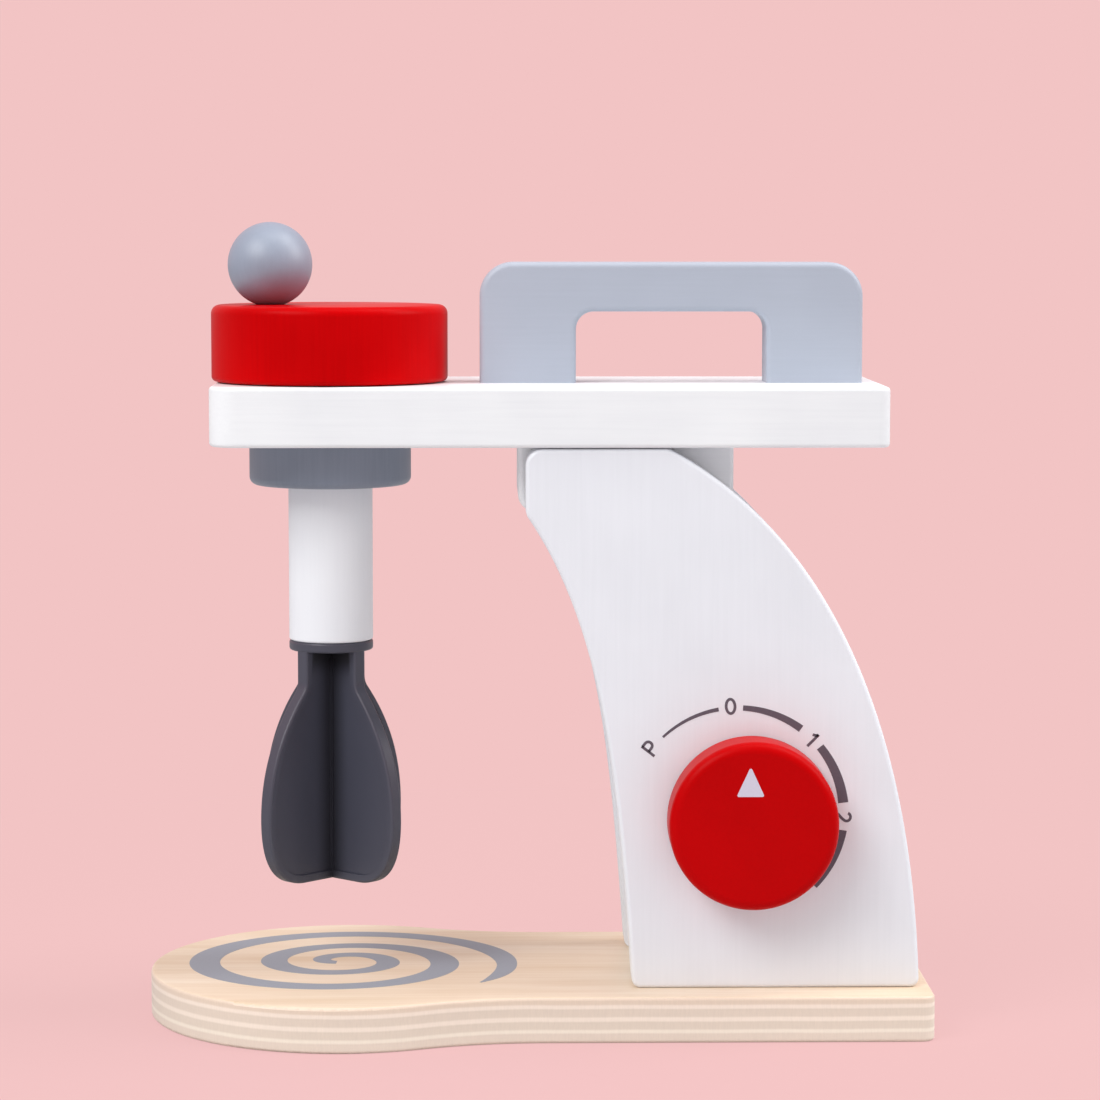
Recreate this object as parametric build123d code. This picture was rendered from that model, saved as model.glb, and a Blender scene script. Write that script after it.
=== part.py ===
from build123d import *

import math
import os

# A toy stand mixer in painted wood. The head tilts back on a dowel between the two cheeks of the
# column, a spindle with a crank disc and a moulded whisk turns in the head, and a dial turns on
# the front cheek. Millimetres, +Z up, the dial faces -Y, and the origin is the middle of the
# base's underside.

# ---- Base board: a round end for the bowl, a waist, and a straight end that carries the column
base_length = 231.0
base_thickness = 13.5
base_round_radius = 58.5
base_waist_inset = 12.0
base_waist_radius = 90.0
base_corner_radius = 4.0
base_edge_round = 1.0

# ---- Column: two cheeks with a gap between them
column_height = 158.0
column_gap = 45.0
cheek_thickness = 12.0
column_back_inset = 3.5
column_foot_length = 84.0
column_lean = 31.2
column_top_length = 41.2
column_nose_height = 19.0
column_corner_round = 5.0
column_foot_round = 2.6
column_edge_round = 1.2

# Each sweeping edge leaves and arrives at an angle from straight down, and a pull is how far it
# follows that direction.
back_top_angle = 62.0
back_top_pull = 63.5
back_foot_angle = 1.6
back_foot_pull = 59.5
front_nose_angle = 35.0
front_nose_pull = 40.0
front_foot_angle = 3.9
front_foot_pull = 59.0

# ---- Spacer that ties the cheeks together low down, inside the gap
spacer_height = 34.0
spacer_length = 46.0
spacer_inset = 20.0
spacer_edge_round = 1.0
spacer_dowel_pitch = 26.0
spacer_screw_pitch = 22.0

# ---- Tilt hinge between the cheeks, under the head board
pivot_inset = 9.0
pivot_drop = 33.0
pin_diameter = 8.0
pin_socket_depth = 7.0
block_overhang = 2.1
block_length = 63.0
block_shoulder = 19.5
block_shoulder_round = 5.0
block_lobe_radius = 13.0
block_edge_round = 1.4
block_dowel_pitch = 34.0
block_dowel_spread = 22.0
hinge_washer_thickness = 0.8
hinge_washer_diameter = 18.0

# ---- Head board, with two well rounded corners in front of the spindle
head_gap = 0.3
board_thickness = 17.5
board_width = 71.0
board_front_reach = 33.8
board_back_inset = 13.5
board_front_radius = 9.0
board_back_radius = 3.0
board_edge_round = 1.2

# ---- Handle, an arch on the head board
handle_disc_gap = 9.5
handle_back_inset = 5.5
handle_height = 35.5
handle_thickness = 18.0
handle_leg = 28.4
handle_grip = 14.5
handle_corner_radius = 10.0
handle_window_radius = 5.2
handle_edge_round = 1.6
handle_dowel_pitch = 13.0

# ---- Spindle: crank disc, ball, axle, collar and shaft
spindle_offset = 4.0
axle_diameter = 12.0
disc_diameter = 70.0
disc_height = 22.6
disc_top_round = 2.6
disc_bottom_round = 1.5
disc_axle_depth = 13.0
disc_washer_diameter = 30.0
disc_washer_thickness = 0.2
ball_diameter = 25.0
ball_flat_diameter = 8.0
crank_radius = 17.5
ball_peg_diameter = 6.0
ball_peg_depth = 9.0
collar_gap = 0.4
collar_diameter = 48.0
collar_height = 12.5
collar_bottom_round = 2.4
collar_top_round = 0.6
shaft_diameter = 25.0
shaft_length = 46.5
shaft_edge_round = 0.8
shaft_axle_depth = 22.0

# ---- Whisk, moulded in one piece: a spigot, a flange and pear-shaped blades round one axis
whisk_blades = 4
whisk_turn = 46.5
whisk_length = 72.0
whisk_radius = 27.5
whisk_widest_drop = 52.0
whisk_neck_radius = 12.2
whisk_neck_drop = 13.8
whisk_neck_round = 5.0
whisk_flare_angle = 41.0
whisk_flare_pull = 12.0
whisk_belly_pull = 17.0
whisk_foot_radius = 13.0
whisk_foot_pull = 9.0
whisk_corner_pull = 14.0
blade_thickness = 4.2
blade_rim_width = 2.4
blade_panel_depth = 0.6
blade_rim_round = 0.7
flange_diameter = 25.0
flange_thickness = 3.0
flange_edge_round = 0.8
spigot_diameter = 11.0
spigot_length = 15.0
spigot_lead = 1.0

# ---- Dial on the front cheek
dial_inset = 34.3
dial_height = 50.2
dial_diameter = 49.0
dial_thickness = 15.0
dial_front_round = 3.0
dial_back_round = 0.8
dial_peg_diameter = 8.0
dial_peg_depth = 10.0
dial_washer_diameter = 20.0
dial_washer_thickness = 0.6
retainer_diameter = 18.0
retainer_thickness = 5.0
retainer_edge_round = 0.8

# ---- Dowels, screws and fits
dowel_diameter = 6.0
dowel_length = 17.0
dowel_lead = 0.6
screw_diameter = 3.5
screw_head_diameter = 7.0
screw_length = 32.0
screw_sink = 0.6
screw_edge_distance = 16.0
dial_screw_diameter = 3.0
dial_screw_head_diameter = 6.0
dial_screw_length = 15.0
running_clearance = 0.05
glue_gap = 0.02
end_gap = 0.3
end_play = 0.1

# ---- Heights and places that follow from the sizes above
base_straight_width = 2 * (base_round_radius - base_waist_inset)
base_round_x = base_round_radius - base_length / 2
base_top = base_thickness
column_foot_x = base_length / 2 - column_back_inset - column_foot_length
column_top_x = column_foot_x - column_lean
column_top = base_top + column_height
column_width = column_gap + 2 * cheek_thickness
cheek_middle_y = (column_width - cheek_thickness) / 2
spacer_x = column_foot_x + spacer_inset + spacer_length / 2
board_bottom = column_top + head_gap
board_top = board_bottom + board_thickness
board_back_x = base_length / 2 - board_back_inset
pivot_x = column_foot_x + pivot_inset
pivot_z = board_bottom - pivot_drop
block_x = column_top_x - block_overhang + block_length / 2
block_thickness = column_gap - 2 * (hinge_washer_thickness + end_play)
spindle_x = base_round_x - spindle_offset
board_front_x = spindle_x - board_front_reach
board_length = board_back_x - board_front_x
handle_front_x = spindle_x + disc_diameter / 2 + handle_disc_gap
handle_back_x = board_back_x - handle_back_inset
handle_length = handle_back_x - handle_front_x
handle_x = (handle_front_x + handle_back_x) / 2
disc_bottom = board_top + end_play + disc_washer_thickness
disc_top = disc_bottom + disc_height
crank_x = spindle_x - crank_radius
ball_drop = math.sqrt(ball_diameter**2 - ball_flat_diameter**2) / 2
collar_top = board_bottom - collar_gap
collar_bottom = collar_top - collar_height
shaft_bottom = collar_bottom - shaft_length
dial_x = column_foot_x + dial_inset
dial_z = base_top + dial_height
dial_back_y = -column_width / 2 - end_play - dial_washer_thickness
retainer_y = -column_gap / 2 + end_gap
STANDING = (Align.CENTER, Align.CENTER, Align.MIN)
HANGING = (Align.CENTER, Align.CENTER, Align.MAX)
ALONG_Y = Rot(90, 0, 0)


# ---------------------------------------------------------------------------- shared pieces
def edges_at(part, axis, place):
    """The edges that lie wholly in the plane across an axis at one place."""
    reach = 0.01
    return part.edges().filter_by_position(axis, place - reach, place + reach)


def turned_disc(diameter, height, bottom_round, top_round):
    """A lathe-turned disc that stands on the XY plane, with its two rims rounded."""
    disc = Cylinder(diameter / 2, height, align=STANDING)
    disc = fillet(edges_at(disc, Axis.Z, 0), bottom_round)
    return fillet(edges_at(disc, Axis.Z, height), top_round)


def ring(diameter, thickness, shaft):
    """A flat washer that stands on the XY plane and runs on a shaft."""
    hole = Cylinder(shaft / 2 + running_clearance, thickness, align=STANDING)
    return Cylinder(diameter / 2, thickness, align=STANDING) - hole


def dowel(diameter, length):
    """A dowel centred on the origin, along Z, with a small lead at both ends."""
    bar = Cylinder(diameter / 2, length)
    return chamfer(bar.edges().filter_by(GeomType.CIRCLE), dowel_lead)


def dowel_socket(diameter, length):
    """The room for a glued dowel, a little deeper than the dowel at both ends."""
    return Cylinder(diameter / 2 + glue_gap, length + 2 * end_gap)


def screw(diameter, head_diameter, length):
    """A countersunk screw that points up from the XY plane, with a cross recess in its head."""
    head_height = (head_diameter - diameter) / 2
    outline = Polyline(
        (0, 0),
        (head_diameter / 2, 0),
        (diameter / 2, head_height),
        (diameter / 2, length - diameter),
        (0, length),
        close=True,
    )
    body = revolve(Plane.XZ * make_face(outline), Axis.Z)
    slot = Box(head_diameter * 0.6, diameter * 0.25, head_height)
    return body - slot - Rot(0, 0, 90) * slot


def screw_hole(diameter, head_diameter, length):
    """The room for such a screw: a pilot hole and a countersink, open below the XY plane."""
    head_height = (head_diameter - diameter) / 2
    pilot = Cylinder(diameter / 2 + glue_gap, length + end_gap, align=STANDING)
    sink = Cone(head_diameter / 2 + glue_gap, diameter / 2 + glue_gap, head_height, align=STANDING)
    mouth = Cylinder(head_diameter / 2 + glue_gap, screw_sink, align=HANGING)
    return pilot + sink + mouth


def place_all(piece, places):
    """Copies of one piece at several places."""
    return [place * piece for place in places]


# ---------------------------------------------------------------------------- shared places
def base_screw_places():
    """Two screws rise through the base into each cheek, and two into the spacer."""
    cheek_ends = (screw_edge_distance, column_foot_length - screw_edge_distance)
    spots = [(column_foot_x + end, side * cheek_middle_y) for end in cheek_ends for side in (-1, 1)]
    spots += [(spacer_x + half * spacer_screw_pitch / 2, 0) for half in (-1, 1)]
    return [Pos(x, y, screw_sink) for x, y in spots]


def spacer_dowel_places():
    """Dowels cross each joint between the spacer and a cheek."""
    z = base_top + spacer_height / 2
    half = spacer_dowel_pitch / 2
    sides = (-column_gap / 2, column_gap / 2)
    return [Pos(spacer_x + step, y, z) * ALONG_Y for step in (-half, half) for y in sides]


def block_dowel_places():
    """Four upright dowels join the hinge block to the head board."""
    halves = (-block_dowel_pitch / 2, block_dowel_pitch / 2)
    sides = (-block_dowel_spread / 2, block_dowel_spread / 2)
    return [Pos(block_x + step, y, board_bottom) for step in halves for y in sides]


def handle_dowel_places():
    """Two upright dowels stand in each leg of the handle."""
    leg_middle = (handle_length - handle_leg) / 2
    halves = (-handle_dowel_pitch / 2, handle_dowel_pitch / 2)
    return [Pos(handle_x + leg + step, 0, board_top) for leg in (-leg_middle, leg_middle) for step in halves]


# ---------------------------------------------------------------------------- base and column
def base_board():
    round_end = Pos(base_round_x, 0) * Circle(base_round_radius)
    straight_length = base_length / 2 - base_round_x
    straight = Rectangle(straight_length, base_straight_width, align=(Align.MAX, Align.CENTER))
    outline = round_end + Pos(base_length / 2, 0) * straight
    outline = fillet(outline.vertices().sort_by(Axis.X)[-2:], base_corner_radius)
    waist = outline.vertices().filter_by_position(Axis.X, base_round_x, base_round_x + base_round_radius)
    outline = fillet(waist, base_waist_radius)
    board = extrude(outline, base_thickness)
    board = fillet(edges_at(board, Axis.Z, base_top), base_edge_round)
    board = fillet(edges_at(board, Axis.Z, 0), base_edge_round)
    for hole in base_screw_room():
        board -= hole
    return board


def base_screw_room():
    hole = screw_hole(screw_diameter, screw_head_diameter, screw_length)
    return place_all(hole, base_screw_places())


def base_screws():
    return place_all(screw(screw_diameter, screw_head_diameter, screw_length), base_screw_places())


def sweeping_edge(start, start_angle, start_pull, end, end_angle, end_pull):
    """A smooth edge from an upper to a lower point, with both end directions from straight down."""
    leave = math.radians(start_angle)
    arrive = math.radians(end_angle)
    after = Vector(start) + Vector(math.sin(leave), -math.cos(leave)) * start_pull
    before = Vector(end) - Vector(math.sin(arrive), -math.cos(arrive)) * end_pull
    return Bezier(start, after, before, end)


def cheek_outline():
    """The cheek seen from the front: an upright nose, a flat top and two sweeping edges."""
    nose_low = (column_top_x, column_top - column_nose_height)
    nose_high = (column_top_x, column_top)
    top_back = (column_top_x + column_top_length, column_top)
    foot_back = (column_foot_x + column_foot_length, base_top)
    foot_front = (column_foot_x, base_top)
    back = sweeping_edge(
        top_back, back_top_angle, back_top_pull, foot_back, back_foot_angle, back_foot_pull
    )
    front = sweeping_edge(
        nose_low, front_nose_angle, front_nose_pull, foot_front, front_foot_angle, front_foot_pull
    )
    top = Polyline(nose_low, nose_high, top_back)
    foot = Line(foot_back, foot_front)
    outline = make_face(top.edges() + back.edges() + foot.edges() + front.edges())
    upper = outline.vertices().sort_by(Axis.Y)[2:]
    outline = fillet(upper, column_corner_round)
    lower = outline.vertices().sort_by(Axis.Y)[:2]
    return fillet(lower, column_foot_round)


def cheek(inner_face, outer_face):
    """One side of the column, between two places along Y, with the holes that both sides have."""
    start = Plane.XZ.offset(-max(inner_face, outer_face))
    side = extrude(start * cheek_outline(), cheek_thickness)
    side = fillet(edges_at(side, Axis.Y, outer_face), column_edge_round)
    pin_room = ALONG_Y * dowel_socket(pin_diameter, column_gap + 2 * pin_socket_depth)
    side -= Pos(pivot_x, 0, pivot_z) * pin_room
    for hole in place_all(dowel_socket(dowel_diameter, dowel_length), spacer_dowel_places()):
        side -= hole
    for hole in base_screw_room():
        side -= hole
    return side


def front_cheek():
    side = cheek(-column_gap / 2, -column_width / 2)
    bore = Cylinder(dial_peg_diameter / 2 + running_clearance, column_width)
    return side - Pos(dial_x, -column_width / 2, dial_z) * ALONG_Y * bore


def rear_cheek():
    return cheek(column_gap / 2, column_width / 2)


def column_spacer():
    middle = Pos(spacer_x, 0, base_top)
    block = middle * Box(spacer_length, column_gap, spacer_height, align=STANDING)
    upper = edges_at(block, Axis.Z, base_top + spacer_height).filter_by(Axis.Y)
    block = fillet(upper, spacer_edge_round)
    for hole in place_all(dowel_socket(dowel_diameter, dowel_length), spacer_dowel_places()):
        block -= hole
    for hole in base_screw_room():
        block -= hole
    return block


def spacer_dowels():
    return place_all(dowel(dowel_diameter, dowel_length), spacer_dowel_places())


# ---------------------------------------------------------------------------- tilt hinge
def hinge_pin():
    length = column_gap + 2 * pin_socket_depth
    return Pos(pivot_x, 0, pivot_z) * ALONG_Y * dowel(pin_diameter, length)


def hinge_washers():
    washer = ring(hinge_washer_diameter, hinge_washer_thickness, pin_diameter)
    front = Pos(pivot_x, hinge_washer_thickness - column_gap / 2, pivot_z) * ALONG_Y * washer
    rear = Pos(pivot_x, column_gap / 2, pivot_z) * ALONG_Y * washer
    return [front, rear]


def hinge_block():
    """A tongue under the head board: two shoulders that narrow to a lobe round the pin."""
    shoulder = Pos(block_x, board_bottom) * Rectangle(
        block_length, block_shoulder, align=(Align.CENTER, Align.MAX)
    )
    shoulder = fillet(shoulder.vertices().sort_by(Axis.Y)[:2], block_shoulder_round)
    lobe = Pos(pivot_x, pivot_z) * Circle(block_lobe_radius)
    tongue = make_hull(shoulder.edges() + lobe.edges())
    block = extrude(Plane.XZ * tongue, block_thickness / 2, both=True)
    rims = edges_at(block, Axis.Y, -block_thickness / 2) + edges_at(block, Axis.Y, block_thickness / 2)
    rims = rims.filter_by(lambda edge: edge.center().Z < board_bottom - block_edge_round)
    block = fillet(rims, block_edge_round)
    bore = Cylinder(pin_diameter / 2 + running_clearance, column_gap)
    block -= Pos(pivot_x, 0, pivot_z) * ALONG_Y * bore
    for hole in place_all(dowel_socket(dowel_diameter, dowel_length), block_dowel_places()):
        block -= hole
    return block


def block_dowels():
    return place_all(dowel(dowel_diameter, dowel_length), block_dowel_places())


# ---------------------------------------------------------------------------- head
def head_board():
    outline = Pos(board_back_x, 0) * Rectangle(board_length, board_width, align=(Align.MAX, Align.CENTER))
    outline = fillet(outline.vertices().sort_by(Axis.X)[:2], board_front_radius)
    outline = fillet(outline.vertices().sort_by(Axis.X)[-2:], board_back_radius)
    board = extrude(Pos(0, 0, board_bottom) * outline, board_thickness)
    board = fillet(edges_at(board, Axis.Z, board_bottom), board_edge_round)
    board = fillet(edges_at(board, Axis.Z, board_top), board_edge_round)
    bore = Cylinder(axle_diameter / 2 + running_clearance, board_thickness, align=STANDING)
    board -= Pos(spindle_x, 0, board_bottom) * bore
    room = dowel_socket(dowel_diameter, dowel_length)
    for hole in place_all(room, block_dowel_places() + handle_dowel_places()):
        board -= hole
    return board


def handle():
    """A flat arch: two legs on the head board and a grip over a window for the fingers."""
    foot = (Align.CENTER, Align.MIN)
    arch = Rectangle(handle_length, handle_height, align=foot)
    arch = fillet(arch.vertices().sort_by(Axis.Y)[-2:], handle_corner_radius)
    window = Rectangle(handle_length - 2 * handle_leg, handle_height - handle_grip, align=foot)
    window = fillet(window.vertices().sort_by(Axis.Y)[-2:], handle_window_radius)
    outline = Pos(handle_x, board_top) * (arch - window)
    grip = extrude(Plane.XZ * outline, handle_thickness / 2, both=True)
    rims = edges_at(grip, Axis.Y, -handle_thickness / 2) + edges_at(grip, Axis.Y, handle_thickness / 2)
    rims = rims.filter_by(lambda edge: edge.center().Z > board_top + handle_edge_round)
    grip = fillet(rims, handle_edge_round)
    for hole in place_all(dowel_socket(dowel_diameter, dowel_length), handle_dowel_places()):
        grip -= hole
    return grip


def handle_dowels():
    return place_all(dowel(dowel_diameter, dowel_length), handle_dowel_places())


# ---------------------------------------------------------------------------- spindle
def crank_disc():
    disc = turned_disc(disc_diameter, disc_height, disc_bottom_round, disc_top_round)
    disc = Pos(spindle_x, 0, disc_bottom) * disc
    axle_room = Cylinder(axle_diameter / 2 + glue_gap, disc_axle_depth + end_gap, align=STANDING)
    disc -= Pos(spindle_x, 0, disc_bottom) * axle_room
    peg_room = dowel_socket(ball_peg_diameter, 2 * ball_peg_depth)
    return disc - Pos(crank_x, 0, disc_top) * peg_room


def crank_ball():
    """A ball with a small flat where it sits on the disc, drilled for its peg."""
    ball = Pos(0, 0, ball_drop) * Sphere(ball_diameter / 2)
    below = Box(ball_diameter, ball_diameter, ball_diameter, align=HANGING)
    peg_room = dowel_socket(ball_peg_diameter, 2 * ball_peg_depth)
    return Pos(crank_x, 0, disc_top) * (ball - below - peg_room)


def ball_peg():
    return Pos(crank_x, 0, disc_top) * dowel(ball_peg_diameter, 2 * ball_peg_depth)


def disc_washer():
    washer = ring(disc_washer_diameter, disc_washer_thickness, axle_diameter)
    return Pos(spindle_x, 0, board_top + end_play) * washer


def spindle_axle():
    """The dowel that joins the disc, the collar and the shaft through the head board."""
    top = disc_bottom + disc_axle_depth
    bottom = collar_bottom - shaft_axle_depth
    return Pos(spindle_x, 0, (top + bottom) / 2) * dowel(axle_diameter, top - bottom)


def collar():
    body = turned_disc(collar_diameter, collar_height, collar_bottom_round, collar_top_round)
    hole = Cylinder(axle_diameter / 2 + glue_gap, collar_height, align=STANDING)
    return Pos(spindle_x, 0, collar_bottom) * (body - hole)


def shaft():
    body = turned_disc(shaft_diameter, shaft_length, shaft_edge_round, shaft_edge_round)
    axle_room = Cylinder(axle_diameter / 2 + glue_gap, shaft_axle_depth + end_gap, align=HANGING)
    spigot_room = Cylinder(spigot_diameter / 2 + glue_gap, spigot_length + end_gap, align=STANDING)
    body -= Pos(0, 0, shaft_length) * axle_room
    return Pos(spindle_x, 0, shaft_bottom) * (body - spigot_room)


# ---------------------------------------------------------------------------- whisk
def blade_outline(root, inset):
    """Half of the pear shape, drawn a rim's width inside itself when it has an inset.

    It goes from the root down the neck, round a soft bend and out along the flare, round the belly
    to the foot, and back up beside the axis.
    """
    side = whisk_radius - inset
    low = -whisk_length + inset
    neck = Polyline(
        (inset, root),
        (whisk_neck_radius - inset, root),
        (whisk_neck_radius - inset, -whisk_neck_drop),
    )
    belly = (side, -whisk_widest_drop)
    flare = sweeping_edge(neck @ 1, whisk_flare_angle, whisk_flare_pull, belly, 0, whisk_belly_pull)
    foot = (whisk_foot_radius, low)
    before_foot = (whisk_foot_radius + whisk_foot_pull, low)
    corner = Bezier(belly, (side, -whisk_widest_drop - whisk_corner_pull + inset), before_foot, foot)
    axis_side = Polyline(foot, (inset, low), (inset, root))
    outline = make_face(neck.edges() + flare.edges() + corner.edges() + axis_side.edges())
    bend = outline.vertices().sort_by_distance(neck @ 1)[:1]
    return fillet(bend, whisk_neck_round + inset)


def blade():
    """One blade in the XZ plane: a plate with rounded rims and a shallow panel on both faces."""
    half = blade_thickness / 2
    plate = extrude(Plane.XZ * blade_outline(-flange_thickness / 2, 0), half, both=True)
    rims = edges_at(plate, Axis.Y, -half) + edges_at(plate, Axis.Y, half)
    rims = rims.filter_by(lambda edge: edge.center().X > whisk_neck_radius - half)
    plate = fillet(rims, blade_rim_round)
    panel = blade_outline(-flange_thickness - blade_rim_width, blade_rim_width)
    recess = extrude(Plane.XZ.offset(half - blade_panel_depth) * panel, blade_panel_depth)
    return plate - recess - mirror(recess, Plane.XZ)


def whisk():
    flange = turned_disc(flange_diameter, flange_thickness, flange_edge_round, flange_edge_round)
    spigot = Cylinder(spigot_diameter / 2, spigot_length, align=STANDING)
    spigot = chamfer(edges_at(spigot, Axis.Z, spigot_length), spigot_lead)
    body = Pos(0, 0, -flange_thickness) * flange + spigot
    one_blade = blade()
    for index in range(whisk_blades):
        body += Rot(0, 0, whisk_turn + index * 360 / whisk_blades) * one_blade
    return Pos(spindle_x, 0, shaft_bottom) * body


# ---------------------------------------------------------------------------- dial
def dial_knob():
    knob = turned_disc(dial_diameter, dial_thickness, dial_back_round, dial_front_round)
    room = Cylinder(dial_peg_diameter / 2 + glue_gap, dial_peg_depth + end_gap, align=STANDING)
    return Pos(dial_x, dial_back_y, dial_z) * ALONG_Y * (knob - room)


def dial_washer():
    washer = ring(dial_washer_diameter, dial_washer_thickness, dial_peg_diameter)
    return Pos(dial_x, dial_back_y + dial_washer_thickness, dial_z) * ALONG_Y * washer


def dial_peg():
    """The dowel that is glued in the knob and turns in the front cheek, drilled for its screw."""
    front = dial_back_y - dial_peg_depth
    peg = dowel(dial_peg_diameter, retainer_y - front)
    return Pos(dial_x, (retainer_y + front) / 2, dial_z) * ALONG_Y * peg - dial_screw_room()


def dial_retainer():
    """A small disc inside the gap that the screw holds on the end of the peg."""
    disc = turned_disc(retainer_diameter, retainer_thickness, retainer_edge_round, retainer_edge_round)
    disc = Pos(dial_x, retainer_y + retainer_thickness, dial_z) * ALONG_Y * disc
    return disc - dial_screw_room()


def dial_screw_place():
    return Pos(dial_x, retainer_y + retainer_thickness, dial_z) * ALONG_Y


def dial_screw_room():
    hole = screw_hole(dial_screw_diameter, dial_screw_head_diameter, dial_screw_length)
    return dial_screw_place() * hole


def dial_screw():
    return dial_screw_place() * screw(dial_screw_diameter, dial_screw_head_diameter, dial_screw_length)


# ---------------------------------------------------------------------------- files
PIECES = {
    "base_board": base_board,
    "base_screws": base_screws,
    "front_cheek": front_cheek,
    "rear_cheek": rear_cheek,
    "column_spacer": column_spacer,
    "spacer_dowels": spacer_dowels,
    "hinge_pin": hinge_pin,
    "hinge_washers": hinge_washers,
    "head_board": head_board,
    "hinge_block": hinge_block,
    "block_dowels": block_dowels,
    "handle": handle,
    "handle_dowels": handle_dowels,
    "crank_disc": crank_disc,
    "crank_ball": crank_ball,
    "ball_peg": ball_peg,
    "disc_washer": disc_washer,
    "spindle_axle": spindle_axle,
    "collar": collar,
    "shaft": shaft,
    "whisk": whisk,
    "dial_knob": dial_knob,
    "dial_washer": dial_washer,
    "dial_peg": dial_peg,
    "dial_retainer": dial_retainer,
    "dial_screw": dial_screw,
}

os.makedirs("parts", exist_ok=True)
for node, make in PIECES.items():
    piece = make()
    if isinstance(piece, list):
        piece = Compound(children=piece)
    export_step(piece, f"parts/{node}.step")
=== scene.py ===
# %% [markdown]
# # A wooden toy stand mixer
# The object is a child's kitchen toy: a plywood base, a painted column of two cheeks, a head board
# that tips back on a dowel, a crank disc with a ball on top, and a moulded whisk below.
# The solids come from the CAD frame and already have the right shapes, so this script gives them
# their finishes, adds the printed marks, and sets up the light and the camera.
# Everything is in metres, and a size in millimetres has a name that ends in _mm.

# %% Load the frame
import bpy
import math
import numpy as np
from mathutils import Matrix, Vector


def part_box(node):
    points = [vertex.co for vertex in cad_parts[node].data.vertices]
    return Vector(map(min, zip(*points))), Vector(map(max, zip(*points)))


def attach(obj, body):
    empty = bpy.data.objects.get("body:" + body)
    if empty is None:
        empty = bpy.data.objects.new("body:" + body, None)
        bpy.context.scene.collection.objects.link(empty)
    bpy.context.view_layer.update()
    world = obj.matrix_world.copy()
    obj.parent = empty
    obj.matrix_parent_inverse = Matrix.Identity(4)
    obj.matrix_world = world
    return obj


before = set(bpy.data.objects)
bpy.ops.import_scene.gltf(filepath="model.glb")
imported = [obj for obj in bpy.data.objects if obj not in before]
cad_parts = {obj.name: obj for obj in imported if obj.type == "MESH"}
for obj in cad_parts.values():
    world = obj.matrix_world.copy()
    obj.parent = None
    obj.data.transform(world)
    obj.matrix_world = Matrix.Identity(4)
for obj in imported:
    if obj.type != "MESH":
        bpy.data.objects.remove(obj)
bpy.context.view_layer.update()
MM = 0.001

# %% [markdown]
# ## Camera
# The view is almost square to the dial side, from a little above and far away, which keeps the
# edges nearly parallel. A long lens from a metre off does that. A camera can also be aimed at a
# target, but a yaw, a pitch and a very small roll say its turn exactly, and those three angles
# make its three axes.

# %% Camera
camera_place_mm = Vector((-14.98, -1016.1, 236.44))
camera_yaw, camera_pitch, camera_roll = 0.0191, 0.0956, 0.0006
camera_data = bpy.data.cameras.new("camera")
camera_data.sensor_width = 36.0
camera_data.lens = 111.81
camera_data.clip_start, camera_data.clip_end = 0.05, 50.0

forward = Vector((
    math.sin(camera_yaw) * math.cos(camera_pitch),
    math.cos(camera_yaw) * math.cos(camera_pitch),
    -math.sin(camera_pitch),
))
level = Vector((math.cos(camera_yaw), -math.sin(camera_yaw), 0))
rise = level.cross(forward)
right = level * math.cos(camera_roll) + rise * math.sin(camera_roll)
up = rise * math.cos(camera_roll) - level * math.sin(camera_roll)
camera_axes = Matrix((right, up, -forward)).transposed().to_4x4()

camera = bpy.data.objects.new("camera", camera_data)
bpy.context.scene.collection.objects.link(camera)
camera.matrix_world = Matrix.Translation(camera_place_mm * MM) @ camera_axes
bpy.context.scene.camera = camera
print("camera looks along", [round(value, 3) for value in forward])

# %% [markdown]
# ## Colours and nodes
# Colours are picked as sRGB hex values, as in any paint program, but shaders work with linear
# light. One function turns the first into the second, and one small function adds a node with its
# settings and links, so every material below reads as a short list of nodes.

# %% Two helpers
def linear(hex_colour):
    """Turns "#rrggbb" into a linear RGBA tuple with the sRGB curve."""
    srgb = np.array([int(hex_colour[start:start + 2], 16) for start in (1, 3, 5)]) / 255
    light = np.where(srgb <= 0.04045, srgb / 12.92, ((srgb + 0.055) / 1.055) ** 2.4)
    return (*[float(value) for value in light], 1.0)


def add_node(tree, kind, settings=None, inputs=None):
    """Adds a node, sets its properties, and gives its inputs a value or the output that feeds them."""
    node = tree.nodes.new(kind)
    for name, value in (settings or {}).items():
        setattr(node, name, value)
    for name, value in (inputs or {}).items():
        if isinstance(value, bpy.types.NodeSocket):
            tree.links.new(value, node.inputs[name])
        else:
            node.inputs[name].default_value = value
    return node


print("mid grey #808080 is", round(linear("#808080")[0], 4), "in linear light")

# %% [markdown]
# ## Surroundings
# The toy stands in a pale pink studio with soft, nearly shadowless light. Pink light would tint the
# paint, so the even glow from all round is neutral, and only what the camera or a reflection sees
# of the surroundings is pink. The Light Path node tells the two apart.

# %% World
studio_pink = linear("#F2C4C4")
glow_strength = 0.501
world = bpy.data.worlds.new("studio")
world.use_nodes = True
tree = world.node_tree
tree.nodes.clear()
seen = add_node(tree, "ShaderNodeLightPath")
camera_or_gloss = add_node(
    tree, "ShaderNodeMath", {"operation": "MAXIMUM"},
    {0: seen.outputs["Is Camera Ray"], 1: seen.outputs["Is Glossy Ray"]},
)
any_seen = add_node(
    tree, "ShaderNodeMath", {"operation": "MAXIMUM"},
    {0: camera_or_gloss.outputs[0], 1: seen.outputs["Is Transmission Ray"]},
)
glow = add_node(
    tree, "ShaderNodeBackground", inputs={"Color": linear("#FFFDFD"), "Strength": glow_strength}
)
pink = add_node(tree, "ShaderNodeBackground", inputs={"Color": studio_pink, "Strength": 1.0})
both = add_node(
    tree, "ShaderNodeMixShader",
    inputs={0: any_seen.outputs[0], 1: glow.outputs[0], 2: pink.outputs[0]},
)
add_node(tree, "ShaderNodeOutputWorld", inputs={"Surface": both.outputs[0]})
bpy.context.scene.world = world
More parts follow.
